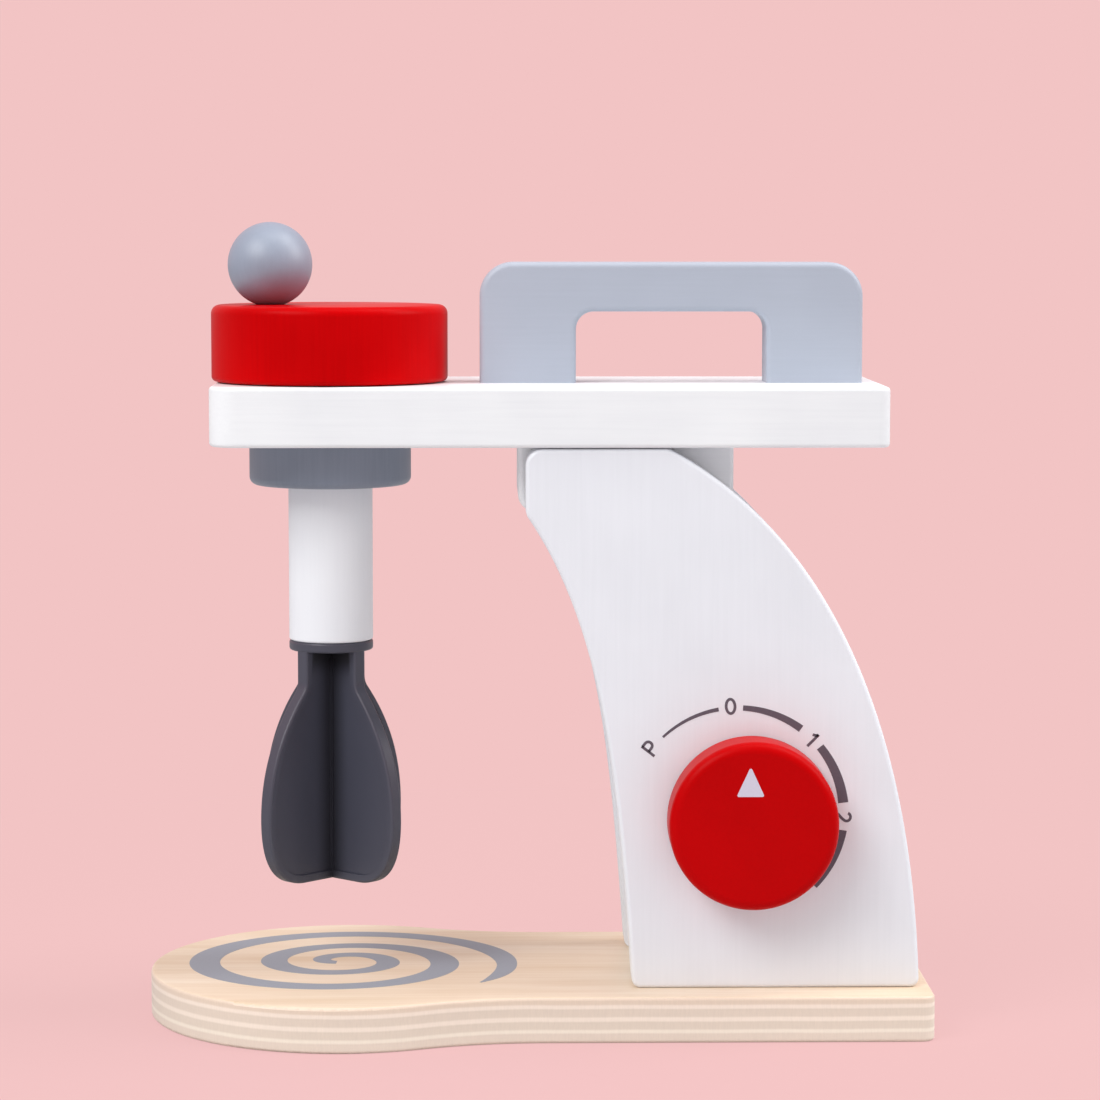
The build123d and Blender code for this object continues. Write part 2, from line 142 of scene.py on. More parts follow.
bpy.context.scene.view_settings.view_transform = "Standard"
print("glow strength:", glow_strength)

# %% [markdown]
# ## Lamps
# Five large white lamps stand round the toy at the same distance: one almost overhead, which puts
# the back half of the base in the shadow of the head, two to the left and in front, which light one
# side of each pair of blades more than the other, and a low one and a high one square to the right.
# Square area lamps of a metre give soft edges to every shadow, which small lamps wouldn't. A table
# gives each lamp's direction and its power in watts.

# %% Lamps
toy_middle = (0, 0, 0.11)
lamp_distance = 2.2
lamp_side = 1.0
lamps = {
    "top_lamp": (10, 82, 6.9),
    "left_lamp": (-55, 45, 13.9),
    "left_front_lamp": (-36, 39, 13.2),
    "right_lamp": (87, 30, 16.8),
    "right_high_lamp": (90, 60, 16.4),
}


def add_lamp(name, azimuth, elevation, watts):
    """Adds a square area lamp that faces the toy from a direction.

    Azimuth 0 is in front and grows to the right, and elevation is upwards, both in degrees.
    """
    turn, lift = math.radians(azimuth), math.radians(elevation)
    away = lamp_distance * math.cos(lift)
    height = toy_middle[2] + lamp_distance * math.sin(lift)
    data = bpy.data.lights.new(name, "AREA")
    data.size = lamp_side
    data.energy = watts
    lamp = bpy.data.objects.new(name, data)
    bpy.context.scene.collection.objects.link(lamp)
    lamp.location = (away * math.sin(turn), -away * math.cos(turn), height)
    lamp.rotation_euler = (Vector(toy_middle) - lamp.location).to_track_quat("-Z", "Y").to_euler()


for lamp_name, (azimuth, elevation, watts) in lamps.items():
    add_lamp(lamp_name, azimuth, elevation, watts)
print("lamps:", list(lamps))

# %% [markdown]
# ## Floor
# The floor is a wide sheet of paper in the colour of the surroundings. It is mostly plain colour,
# with a share of real shading near the toy, which leaves a faint shadow under it and no line at the
# horizon. What it throws back at the toy is nearly neutral, so that it doesn't tint the paint. Seen
# from below it lets the view through.

# %% Floor
floor_radius = 8.0
floor_drop_mm = 0.05
floor_turn = np.linspace(0, 2 * math.pi, 64, endpoint=False)
floor_rim = np.stack([np.cos(floor_turn), np.sin(floor_turn), 0 * floor_turn], axis=1) * floor_radius
floor_rim -= (0, 0, floor_drop_mm * MM)
floor_mesh = bpy.data.meshes.new("studio_floor")
floor_mesh.from_pydata(floor_rim.tolist(), [], [list(range(len(floor_rim)))])
floor = bpy.data.objects.new("studio_floor", floor_mesh)
bpy.context.scene.collection.objects.link(floor)
print("floor radius in m:", floor_radius)

# %% Floor paper
# Metres from the toy's middle.
shaded_to, plain_from = 0.12, 0.4
plain_near_toy = 0.8
floor_material = bpy.data.materials.new("studio_floor_paper")
floor_material.use_nodes = True
tree = floor_material.node_tree
tree.nodes.clear()
seen = add_node(tree, "ShaderNodeLightPath")
side = add_node(tree, "ShaderNodeNewGeometry")
paper_colour = add_node(
    tree, "ShaderNodeMix", {"data_type": "RGBA"},
    {0: seen.outputs["Is Camera Ray"], 6: linear("#C8C2C4"), 7: linear("#DBB1B1")},
)
shaded = add_node(tree, "ShaderNodeBsdfDiffuse", inputs={"Color": paper_colour.outputs[2]})
plain = add_node(tree, "ShaderNodeEmission", inputs={"Color": studio_pink, "Strength": 1.0})
floor_place = add_node(tree, "ShaderNodeTexCoord").outputs["Object"]
from_middle = add_node(tree, "ShaderNodeVectorMath", {"operation": "LENGTH"}, {0: floor_place})
fade = add_node(
    tree, "ShaderNodeMapRange",
    inputs={
        "Value": from_middle.outputs["Value"], "From Min": shaded_to, "From Max": plain_from,
        "To Min": plain_near_toy, "To Max": 1.0,
    },
)
plain_share = add_node(
    tree, "ShaderNodeMath", {"operation": "MULTIPLY"},
    {0: seen.outputs["Is Camera Ray"], 1: fade.outputs[0]},
)
paper = add_node(
    tree, "ShaderNodeMixShader",
    inputs={0: plain_share.outputs[0], 1: shaded.outputs[0], 2: plain.outputs[0]},
)
clear = add_node(tree, "ShaderNodeBsdfTransparent")
one_sided = add_node(
    tree, "ShaderNodeMixShader",
    inputs={0: side.outputs["Backfacing"], 1: paper.outputs[0], 2: clear.outputs[0]},
)
add_node(tree, "ShaderNodeOutputMaterial", inputs={"Surface": one_sided.outputs[0]})
floor_mesh.materials.append(floor_material)
print("the floor is all plain colour beyond", plain_from, "m")

# %% [markdown]
# ## How every material starts
# Each finish on the toy has one Principled shader, because paint, plastic, wood, steel and ink are
# all surfaces with a colour, a roughness and a gloss. Values that are the same all over go straight
# into the shader's sockets. Patterns read Object coordinates, which are metres on these pieces, so
# the scale of a pattern is one over the size of its features.

# %% Start of a material
def start_material(name, values):
    """Begins a material: returns it with its node tree, its shader and the Object coordinates."""
    material = bpy.data.materials.new(name)
    material.use_nodes = True
    tree = material.node_tree
    tree.nodes.clear()
    shader = add_node(tree, "ShaderNodeBsdfPrincipled", inputs=values)
    add_node(tree, "ShaderNodeOutputMaterial", inputs={"Surface": shader.outputs[0]})
    place = add_node(tree, "ShaderNodeTexCoord").outputs["Object"]
    return material, tree, shader, place


def feature_scale(*sizes_mm):
    """Scale along X, Y and Z for a pattern whose features have these sizes in millimetres."""
    return tuple(1 / (size_mm * MM) for size_mm in sizes_mm)


print("a feature of 2 mm has the scale", feature_scale(2)[0])

# %% [markdown]
# ## Lacquered plywood
# The base is birch plywood under a thin satin lacquer. Its face is one sheet of pale veneer with
# fine grain along the board, and its edge shows the plies: where a ply's fibres end at the edge it
# looks darker, and where they run along the edge it looks lighter. Separate sheets could be
# modelled, but the edge is sanded flush, so colour does it: a colour ramp on the height makes the
# plies, with the heights of their joints in millimetres, and slow noise bends them a little.

# %% Plies
plywood, tree, shader, place = start_material("lacquered_birch_plywood", {"Roughness": 0.42})
ply_joints_mm = (0.7, 3.0, 4.05, 6.45, 7.75, 10.2, 11.35)
ply_colours = (
    "#EBD3C2", "#ECDBCB", "#FBEEDD", "#E8D8C7", "#FBEBDB", "#E8D7C6", "#FBEADA", "#EAD5C1",
)
joint_blur = 0.02
base_height_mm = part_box("base_board")[1].z / MM
ply_wobble_mm = 0.7
wobbles_per_metre = 30.0

height = add_node(tree, "ShaderNodeSeparateXYZ", inputs={0: place}).outputs["Z"]
wobble = add_node(
    tree, "ShaderNodeTexNoise", inputs={"Vector": place, "Scale": wobbles_per_metre, "Detail": 2.0}
)
wobbled_height = add_node(
    tree, "ShaderNodeMath", {"operation": "MULTIPLY_ADD"},
    {0: wobble.outputs[0], 1: ply_wobble_mm * MM, 2: height},
)
height_share = add_node(
    tree, "ShaderNodeMapRange",
    inputs={
        "Value": wobbled_height.outputs[0], "From Min": ply_wobble_mm / 2 * MM,
        "From Max": (base_height_mm + ply_wobble_mm / 2) * MM,
    },
)
plies = add_node(tree, "ShaderNodeValToRGB", inputs={"Fac": height_share.outputs[0]})
ramp = plies.color_ramp
ramp.elements[0].color = linear(ply_colours[0])
ramp.elements[1].color = linear(ply_colours[-1])
for joint_mm, below, above in zip(ply_joints_mm, ply_colours, ply_colours[1:]):
    joint = joint_mm / base_height_mm
    ramp.elements.new(joint - joint_blur).color = linear(below)
    ramp.elements.new(joint + joint_blur).color = linear(above)
print("plies:", len(ply_colours), "stops:", len(ramp.elements))

# %% [markdown]
# The face's veneer has two patterns that are both stretched along the board: fine grain about a
# millimetre wide, and broad bands where the sheet was cut through wide growth rings. Their sum
# picks a tone between dark and light wood.

# %% Veneer on the face
grain_length_mm, grain_width_mm = 40.0, 1.1
band_length_mm, band_width_mm = 90.0, 14.0
grain_share = 0.55
grain_map = add_node(
    tree, "ShaderNodeMapping",
    inputs={"Vector": place, "Scale": feature_scale(grain_length_mm, grain_width_mm, grain_width_mm)},
)
grain = add_node(
    tree, "ShaderNodeTexNoise",
    inputs={
        "Vector": grain_map.outputs[0], "Scale": 1.0,
        "Detail": 4.0, "Roughness": 0.6, "Distortion": 0.3,
    },
)
band_map = add_node(
    tree, "ShaderNodeMapping",
    inputs={"Vector": place, "Scale": feature_scale(band_length_mm, band_width_mm, band_width_mm)},
)
bands = add_node(
    tree, "ShaderNodeTexNoise", inputs={"Vector": band_map.outputs[0], "Scale": 1.0, "Detail": 2.0}
)
face_sum = add_node(
    tree, "ShaderNodeMath", {"operation": "MULTIPLY_ADD"},
    {0: grain.outputs[0], 1: grain_share, 2: bands.outputs[0]},
)
face_level = add_node(
    tree, "ShaderNodeMapRange", inputs={"Value": face_sum.outputs[0], "From Min": 0.5, "From Max": 1.05}
)
face_colour = add_node(
    tree, "ShaderNodeMix", {"data_type": "RGBA"},
    {0: face_level.outputs[0], 6: linear("#DFC5A5"), 7: linear("#F3E2CC")},
)
print("grain:", grain_width_mm, "by", grain_length_mm, "mm")

# %% [markdown]
# The edge is cut across the fibres, whose ends make it very slightly speckled. Real fibre ends are
# finer than a tenth of a millimetre, so they are drawn coarser, to show. The surface's direction
# tells face from edge: a normal that points straight up or down is a face.

# %% Fibres at the edge
fibre_width_mm, fibre_height_mm = 0.45, 2.5
fibre_map = add_node(
    tree, "ShaderNodeMapping",
    inputs={"Vector": place, "Scale": feature_scale(fibre_width_mm, fibre_width_mm, fibre_height_mm)},
)
fibres = add_node(
    tree, "ShaderNodeTexNoise", inputs={"Vector": fibre_map.outputs[0], "Scale": 1.0, "Detail": 3.0}
)
fibre_level = add_node(
    tree, "ShaderNodeMapRange",
    inputs={
        "Value": fibres.outputs[0], "From Min": 0.3, "From Max": 0.7, "To Min": 0.975, "To Max": 1.02,
    },
)
edge_colour = add_node(
    tree, "ShaderNodeMix", {"data_type": "RGBA", "blend_type": "MULTIPLY"},
    {0: 1.0, 6: plies.outputs[0], 7: fibre_level.outputs[0]},
)
print("fibre ends:", fibre_width_mm, "mm wide")

# %% Face and edge together
grain_relief_mm = 0.1
normal = add_node(tree, "ShaderNodeNewGeometry").outputs["Normal"]
normal_up = add_node(tree, "ShaderNodeSeparateXYZ", inputs={0: normal}).outputs["Z"]
flatness = add_node(tree, "ShaderNodeMath", {"operation": "ABSOLUTE"}, {0: normal_up})
on_face = add_node(
    tree, "ShaderNodeMapRange",
    inputs={"Value": flatness.outputs[0], "From Min": 0.72, "From Max": 0.92},
)
wood_colour = add_node(
    tree, "ShaderNodeMix", {"data_type": "RGBA"},
    {0: on_face.outputs[0], 6: edge_colour.outputs[2], 7: face_colour.outputs[2]},
)
tree.links.new(wood_colour.outputs[2], shader.inputs["Base Color"])
ridges = add_node(
    tree, "ShaderNodeBump",
    inputs={"Height": grain.outputs[0], "Strength": 0.12, "Distance": grain_relief_mm * MM},
)
tree.links.new(ridges.outputs[0], shader.inputs["Normal"])
print(plywood.name, "is ready")

# %% [markdown]
# ## Satin paint on wood
# The column, the head, the handle and the turned pieces are sanded wood under sprayed satin paint.
# Such a film is smooth but not glassy. It has a very fine orange peel from the spray, the grain
# below still shows as faint ridges, and the tone drifts a little where the film is thinner. One
# function makes the finish in any colour, and the direction of the grain is given for each piece.
# Peel and grain only tilt the surface by a hair, so a bump does it without any geometry.

# %% Satin paint
def satin_paint(name, colour, thin_colour, grain_axis, roughness, ridge, specular=0.5):
    """Sprayed satin paint on sanded wood whose grain runs along one axis: X, Y or Z."""
    grain_length_mm, grain_width_mm = 30.0, 0.9
    peel_mm, drift_mm, relief_mm = 0.7, 28.0, 0.1
    grain_share, peel_share = 0.6, 0.5
    smoother, rougher = 0.04, 0.06
    material, tree, shader, place = start_material(name, {"Specular IOR Level": specular})
    grain_sizes_mm = [grain_length_mm if axis == grain_axis else grain_width_mm for axis in "XYZ"]
    grain_map = add_node(
        tree, "ShaderNodeMapping", inputs={"Vector": place, "Scale": feature_scale(*grain_sizes_mm)}
    )
    grain = add_node(
        tree, "ShaderNodeTexNoise",
        inputs={"Vector": grain_map.outputs[0], "Scale": 1.0, "Detail": 3.0, "Roughness": 0.55},
    )
    peel = add_node(
        tree, "ShaderNodeTexNoise", inputs={"Vector": place, "Scale": 1 / (peel_mm * MM), "Detail": 1.0}
    )
    drift = add_node(
        tree, "ShaderNodeTexNoise", inputs={"Vector": place, "Scale": 1 / (drift_mm * MM), "Detail": 2.0}
    )
    film = add_node(
        tree, "ShaderNodeMath", {"operation": "MULTIPLY_ADD"},
        {0: grain.outputs[0], 1: grain_share, 2: drift.outputs[0]},
    )
    film_level = add_node(
        tree, "ShaderNodeMapRange", inputs={"Value": film.outputs[0], "From Min": 0.55, "From Max": 1.05}
    )
    tone = add_node(
        tree, "ShaderNodeMix", {"data_type": "RGBA"},
        {0: film_level.outputs[0], 6: linear(thin_colour), 7: linear(colour)},
    )
    tree.links.new(tone.outputs[2], shader.inputs["Base Color"])
    gloss = add_node(
        tree, "ShaderNodeMapRange",
        inputs={
            "Value": drift.outputs[0], "From Min": 0.3, "From Max": 0.7,
            "To Min": roughness - smoother, "To Max": roughness + rougher,
        },
    )
    tree.links.new(gloss.outputs[0], shader.inputs["Roughness"])
    relief = add_node(
        tree, "ShaderNodeMath", {"operation": "MULTIPLY_ADD"},
        {0: peel.outputs[0], 1: peel_share, 2: grain.outputs[0]},
    )
    ridges = add_node(
        tree, "ShaderNodeBump",
        inputs={"Height": relief.outputs[0], "Strength": ridge, "Distance": relief_mm * MM},
    )
    tree.links.new(ridges.outputs[0], shader.inputs["Normal"])
    return material


# Each paint: its name, its colour, the colour where the film is thin, the grain's axis, the
# roughness, how strong the ridges are, and the specular level if it isn't the usual one.
finishes = {
    "plywood": plywood,
    "white_board": satin_paint("satin_white_paint_on_board", "#F5F8FA", "#EEF1F4", "X", 0.42, 0.16),
    "white_column": satin_paint("satin_white_paint_on_column", "#EEF1F7", "#E9ECF2", "Z", 0.4, 0.08),
    "white_turned": satin_paint(
        "satin_white_paint_on_turned_wood", "#F4F7FB", "#EFF2F7", "Z", 0.36, 0.06,
    ),
    "red": satin_paint("satin_red_paint_on_turned_wood", "#CD0004", "#C00003", "Z", 0.34, 0.1, 0.04),
    "red_knob": satin_paint("satin_red_paint_on_knob", "#C30003", "#BA0002", "Y", 0.34, 0.06, 0.05),
    "blue_grey": satin_paint("satin_blue_grey_paint_on_wood", "#B3BBC9", "#AEB6C4", "X", 0.42, 0.04),
    "ball_grey": satin_paint("satin_grey_paint_on_ball", "#919DAF", "#8B97A8", "Z", 0.41, 0.04, 0.8),
    "slate": satin_paint("satin_slate_paint_on_turned_wood", "#7F8897", "#757E8C", "Z", 0.4, 0.08),
}
print("finishes so far:", len(finishes))

# %% [markdown]
# ## Moulded plastic
# The whisk is one moulding in charcoal polypropylene. Its mould was spark eroded, which leaves a
# fine even matt grain that scatters the light, and the colour is slightly cloudy from the flow of
# the plastic. The mould grain is drawn coarser than it is, so that it shows.

# %% Charcoal plastic
charcoal, tree, shader, place = start_material("moulded_charcoal_polypropylene", {"Roughness": 0.4})
spark_grain_mm, spark_relief_mm, cloud_mm = 0.5, 0.05, 22.0
spark = add_node(
    tree, "ShaderNodeTexNoise",
    inputs={"Vector": place, "Scale": 1 / (spark_grain_mm * MM), "Detail": 2.0},
)
spark_bump = add_node(
    tree, "ShaderNodeBump",
    inputs={"Height": spark.outputs[0], "Strength": 0.12, "Distance": spark_relief_mm * MM},
)
tree.links.new(spark_bump.outputs[0], shader.inputs["Normal"])
cloud = add_node(
    tree, "ShaderNodeTexNoise", inputs={"Vector": place, "Scale": 1 / (cloud_mm * MM), "Detail": 2.0}
)
charcoal_tone = add_node(
    tree, "ShaderNodeMix", {"data_type": "RGBA"},
    {0: cloud.outputs[0], 6: linear("#40424F"), 7: linear("#474956")},
)
finishes["charcoal"] = charcoal
print("mould grain:", spark_grain_mm, "mm")

# %% [markdown]
# Painted shade: the corners between the blades and the neck under the flange are darkened in the
# plastic's colour, as shade would darken them, so they look almost black. Two distances say how deep
# a point lies: how far it is from the whisk's axis, and how far below the flange. The blades' outer
# edges and the flange get no painted shade.

# %% Distances on the whisk
whisk_low, whisk_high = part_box("whisk")
whisk_axis_x = (whisk_low.x + whisk_high.x) / 2
from_axis = add_node(
    tree, "ShaderNodeVectorMath", {"operation": "SUBTRACT"}, {0: place, 1: (whisk_axis_x, 0, 0)}
)
flat_from_axis = add_node(
    tree, "ShaderNodeVectorMath", {"operation": "MULTIPLY"}, {0: from_axis.outputs[0], 1: (1, 1, 0)}
)
reach = add_node(
    tree, "ShaderNodeVectorMath", {"operation": "LENGTH"}, {0: flat_from_axis.outputs[0]}
).outputs["Value"]
height = add_node(tree, "ShaderNodeSeparateXYZ", inputs={0: place}).outputs["Z"]
print("whisk axis at x in mm:", round(whisk_axis_x / MM, 2))

# %% Painted shade on the whisk
# The painted shade of the neck ends a little above the flange's underside, so that the underside is
# painted dark too.
corner_from_mm, corner_to_mm, crease_shade_tone = 1.0, 9.0, 0.25
neck_top_mm, neck_depth_mm, neck_shade_tone = 109.8, 9.0, 0.1
outer_from_mm, outer_to_mm = 9.4, 10.4
flange_margin_mm = 0.05

# Painted shade in the corners between the blades: darkest near the axis, none from 9 mm out.
painted_crease_shade = add_node(
    tree, "ShaderNodeMapRange", {"interpolation_type": "SMOOTHSTEP"},
    {
        "Value": reach, "From Min": corner_from_mm * MM, "From Max": corner_to_mm * MM,
        "To Min": crease_shade_tone, "To Max": 1.0,
    },
)
# Painted shade under the flange: darkest at the flange, none 9 mm lower.
painted_neck_shade = add_node(
    tree, "ShaderNodeMapRange", {"interpolation_type": "SMOOTHSTEP"},
    {
        "Value": height, "From Min": (neck_top_mm - neck_depth_mm) * MM, "From Max": neck_top_mm * MM,
        "To Min": 1.0, "To Max": neck_shade_tone,
    },
)
rim_without_shade = add_node(
    tree, "ShaderNodeMapRange",
    inputs={"Value": reach, "From Min": outer_from_mm * MM, "From Max": outer_to_mm * MM},
)
on_flange = add_node(
    tree, "ShaderNodeMath", {"operation": "GREATER_THAN"},
    {0: height, 1: (neck_top_mm + flange_margin_mm) * MM},
)
neck_shade_off_rim = add_node(
    tree, "ShaderNodeMath", {"operation": "MAXIMUM"},
    {0: painted_neck_shade.outputs[0], 1: rim_without_shade.outputs[0]},
)
neck_shade_off_flange = add_node(
    tree, "ShaderNodeMath", {"operation": "MAXIMUM"},
    {0: neck_shade_off_rim.outputs[0], 1: on_flange.outputs[0]},
)
painted_shade_level = add_node(
    tree, "ShaderNodeMath", {"operation": "MULTIPLY"},
    {0: painted_crease_shade.outputs[0], 1: neck_shade_off_flange.outputs[0]},
)
# The charcoal colour is multiplied by the painted shade of the corners and the neck.
charcoal_with_painted_shade = add_node(
    tree, "ShaderNodeMix", {"data_type": "RGBA", "blend_type": "MULTIPLY"},
    {0: 1.0, 6: charcoal_tone.outputs[2], 7: painted_shade_level.outputs[0]},
)
tree.links.new(charcoal_with_painted_shade.outputs[2], shader.inputs["Base Color"])
print("the neck darkens over", neck_depth_mm, "mm")

# %% [markdown]
# ## Bare beech
# The dowels and pegs are bare turned beech, pale brown and dull, with the small dark flecks that
# tell beech from other woods. Cells of a Voronoi pattern are dark near their middles, which makes
# one fleck in each. Most dowels are hidden, but each looks right if a piece is lifted away.

# %% Bare beech
beech, tree, shader, place = start_material("bare_turned_beech", {"Roughness": 0.55})
fleck_mm = 0.5
flecks = add_node(
    tree, "ShaderNodeTexVoronoi", inputs={"Vector": place, "Scale": 1 / (fleck_mm * MM)}
)
fleck_level = add_node(
    tree, "ShaderNodeMapRange",
    inputs={"Value": flecks.outputs["Distance"], "From Min": 0.1, "From Max": 0.35},
)
beech_tone = add_node(
    tree, "ShaderNodeMix", {"data_type": "RGBA"},
    {0: fleck_level.outputs[0], 6: linear("#B98D62"), 7: linear("#DDB991")},
)
tree.links.new(beech_tone.outputs[2], shader.inputs["Base Color"])
finishes["beech"] = beech
print("beech flecks are", fleck_mm, "mm apart")

# %% [markdown]
# ## Zinc-plated steel
# The screws are steel with bright zinc plating, which is slightly cloudy: it grows in small
# crystals that shine a little differently. One colour with a roughness that changes from cell to
# cell gives that.

# %% Zinc-plated steel
steel, tree, shader, place = start_material(
    "zinc_plated_steel", {"Base Color": linear("#C4C7CC"), "Metallic": 1.0}
)
spangle_mm = 1.2
spangle = add_node(
    tree, "ShaderNodeTexVoronoi", inputs={"Vector": place, "Scale": 1 / (spangle_mm * MM)}
)
spangle_roughness = add_node(
    tree, "ShaderNodeMapRange",
    inputs={"Value": spangle.outputs["Distance"], "To Min": 0.28, "To Max": 0.45},
)
tree.links.new(spangle_roughness.outputs[0], shader.inputs["Roughness"])
finishes["steel"] = steel
print("zinc spangles are about", spangle_mm, "mm across")

# %% [markdown]
# ## Pressed fibre
# The washers are stamped from pressed grey fibre, which is dull and mottled like felt. Noise with
# some detail between two greys is enough for pieces this small.

# %% Pressed fibre
fibre, tree, shader, place = start_material("pressed_grey_fibre", {"Roughness": 0.8})
felt_mm = 0.4
felt = add_node(
    tree, "ShaderNodeTexNoise", inputs={"Vector": place, "Scale": 1 / (felt_mm * MM), "Detail": 3.0}
)
fibre_tone = add_node(
    tree, "ShaderNodeMix", {"data_type": "RGBA"},
    {0: felt.outputs[0], 6: linear("#4A4643"), 7: linear("#716C68")},
)
tree.links.new(fibre_tone.outputs[2], shader.inputs["Base Color"])
finishes["fibre"] = fibre
print("finishes for the solids:", len(finishes))

# %% [markdown]
# ## Finishes on the solids
# Every solid of the frame is already true to the object, so it only takes its finish. Pieces that
# share a finish share one material, which keeps the toy easy to recolour.

# %% Give each solid its finish
finish_of = {
    "base_board": "plywood",
    "front_cheek": "white_column", "rear_cheek": "white_column", "column_spacer": "white_column",
    "head_board": "white_board", "hinge_block": "white_board", "shaft": "white_turned",
    "handle": "blue_grey", "crank_disc": "red", "crank_ball": "ball_grey", "collar": "slate",
    "whisk": "charcoal", "dial_knob": "red_knob",
    "spacer_dowels": "beech", "hinge_pin": "beech", "block_dowels": "beech", "handle_dowels": "beech",
    "ball_peg": "beech", "spindle_axle": "beech", "dial_peg": "beech", "dial_retainer": "beech",
    "base_screws": "steel", "dial_screw": "steel",
    "hinge_washers": "fibre", "disc_washer": "fibre", "dial_washer": "fibre",
}
for node, finish in finish_of.items():
    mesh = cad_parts[node].data
    mesh.materials.clear()
    mesh.materials.append(finishes[finish])
print("solids with a finish:", len(finish_of), "of", len(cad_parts))

# %% [markdown]
# ## Screen printing
# The spiral on the base and the scale round the dial are screen printed: a flat film of ink about
# as thick as paper, with crisp edges. An image could colour the surface, but a thin piece of its
# own keeps the edges sharp at any distance. Each print is a ribbon along a path: a flat
# cross-section with four corners is carried along it, and its width changes on the way. Working
# this out for all stations at once gives one grid of points, which closes round the ribbon and at
# both ends.

# %% Ink
def printed_ink(name, colour, worn_colour):
    """Matt screen ink: slightly uneven, because the mesh leaves more ink in some places."""
    screen_mesh_mm = 0.8
    material, tree, shader, place = start_material(name, {"Roughness": 0.6})
    screen = add_node(
        tree, "ShaderNodeTexNoise",
        inputs={"Vector": place, "Scale": 1 / (screen_mesh_mm * MM), "Detail": 2.0},
    )
    tone = add_node(
        tree, "ShaderNodeMix", {"data_type": "RGBA"},
        {0: screen.outputs[0], 6: linear(worn_colour), 7: linear(colour)},
    )
    tree.links.new(tone.outputs[2], shader.inputs["Base Color"])
    return material


finishes["spiral_ink"] = printed_ink("grey_screen_ink", "#9097A2", "#9CA1AA")
finishes["dial_ink"] = printed_ink("charcoal_screen_ink", "#564E5A", "#625A65")
finishes["pointer_ink"] = printed_ink("white_pad_ink", "#D8D3E4", "#CFCADA")
ink_thickness_mm = 0.06
print("ink film in mm:", ink_thickness_mm)

# %% Ribbon along a path
def ribbon(path, width, normal, closed=False):
    """Points and faces of a flat ribbon that lies on a surface.

    The direction along the path is the difference of its neighbours. Across is the cross product
    of the normal and that direction, made one long. The four corners of each cross-section are
    half a width to either side, at the surface and one ink film above it.
    """
    path = np.asarray(path, float)
    normal = np.asarray(normal, float)
    if closed:
        along = np.roll(path, -1, axis=0) - np.roll(path, 1, axis=0)
    else:
        along = np.gradient(path, axis=0)
    across = np.cross(normal, along)
    across /= np.linalg.norm(across, axis=1, keepdims=True)
    half = (np.zeros(len(path)) + width)[:, None] / 2 * across
    lift = normal * ink_thickness_mm * MM
    corners = np.stack([path - half, path + half, path + half + lift, path - half + lift], axis=1)
    points = corners.reshape(-1, 3)
    station = np.arange(len(path) if closed else len(path) - 1)
    here = 4 * station[:, None] + np.arange(4)
    there = (4 * (station[:, None] + 1) + np.arange(4)) % len(points)
    walls = np.stack([here, np.roll(here, -1, axis=1), np.roll(there, -1, axis=1), there], axis=2)
    faces = walls.reshape(-1, 4).tolist()
    if not closed:
        last = len(points) - 4
        faces += [[3, 2, 1, 0], [last, last + 1, last + 2, last + 3]]
    return points, faces


straight = [(0, 0, 0), (1, 0, 0), (2, 0, 0)]
print("a ribbon with 3 stations has", len(ribbon(straight, 1, (0, 0, 1))[1]), "faces")

# %% Piece from ribbons
def printed_piece(name, ribbons, ink, body):
    """Joins ribbons into one object with an ink, and lets it ride on a body of the frame."""
    starts = np.cumsum([0] + [len(points) for points, _ in ribbons])
    points = np.concatenate([points for points, _ in ribbons])
    faces = [
        [int(corner + start) for corner in face]
        for start, (_, part) in zip(starts, ribbons)
        for face in part
    ]
    mesh = bpy.data.meshes.new(name)
    mesh.from_pydata(points.tolist(), [], faces)
    mesh.materials.append(ink)
    piece = bpy.data.objects.new(name, mesh)
    bpy.context.scene.collection.objects.link(piece)
    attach(piece, body)
    print(name, "has", len(faces), "faces")


# %% [markdown]
# ## The spiral on the base
# A grey spiral marks where the bowl stands. It opens clockwise in a little over two and a half
# turns, wider apart as it goes, with a band that swells from a hooked start and ends in a pointed
# tail. It was drawn by hand, a little flatter from front to back than a circle, so a formula for
# the whole path wouldn't fit it: its radius is given at every quarter turn, and the band's width
# too. A curve that passes through those values with an even slope joins them, and one depth share
# flattens the whole path.

# %% Smooth curve through given values
def smooth_through(at, places, values):
    """Cubic Hermite curve: between two places, blends both values and both slopes."""
    places, values = np.asarray(places, float), np.asarray(values, float)
    slopes = np.gradient(values, places)
    left = np.clip(np.searchsorted(places, at, side="right") - 1, 0, len(places) - 2)
    step = places[left + 1] - places[left]
    share = (at - places[left]) / step
    start = (1 + 2 * share) * (1 - share) ** 2 * values[left]
    end = (3 - 2 * share) * share ** 2 * values[left + 1]
    leave = share * (1 - share) ** 2 * step * slopes[left]
    arrive = (share - 1) * share ** 2 * step * slopes[left + 1]
    return start + end + leave + arrive


print("halfway between 1 and 3:", float(smooth_through(np.array([0.5]), (0, 1), (1, 3))[0]))

# %% Spiral
spiral_centre_mm = (-57.9, 2.6)
spiral_depth_share = 0.89
spiral_stations = 520
spiral_turns = (-0.03, 0.04, 0.25, 0.5, 0.75, 1.0, 1.25, 1.5, 1.75, 2.0, 2.25, 2.5, 2.58, 2.605)
spiral_radii_mm = (2.2, 6.0, 11.4, 13.4, 16.0, 20.9, 26.2, 30.4, 37.4, 42.0, 45.5, 49.2, 51.6, 52.4)
band_widths_mm = (3.6, 5.0, 5.4, 7.0, 5.8, 8.0, 6.4, 8.6, 7.2, 9.2, 7.0, 6.4, 3.6, 0.6)

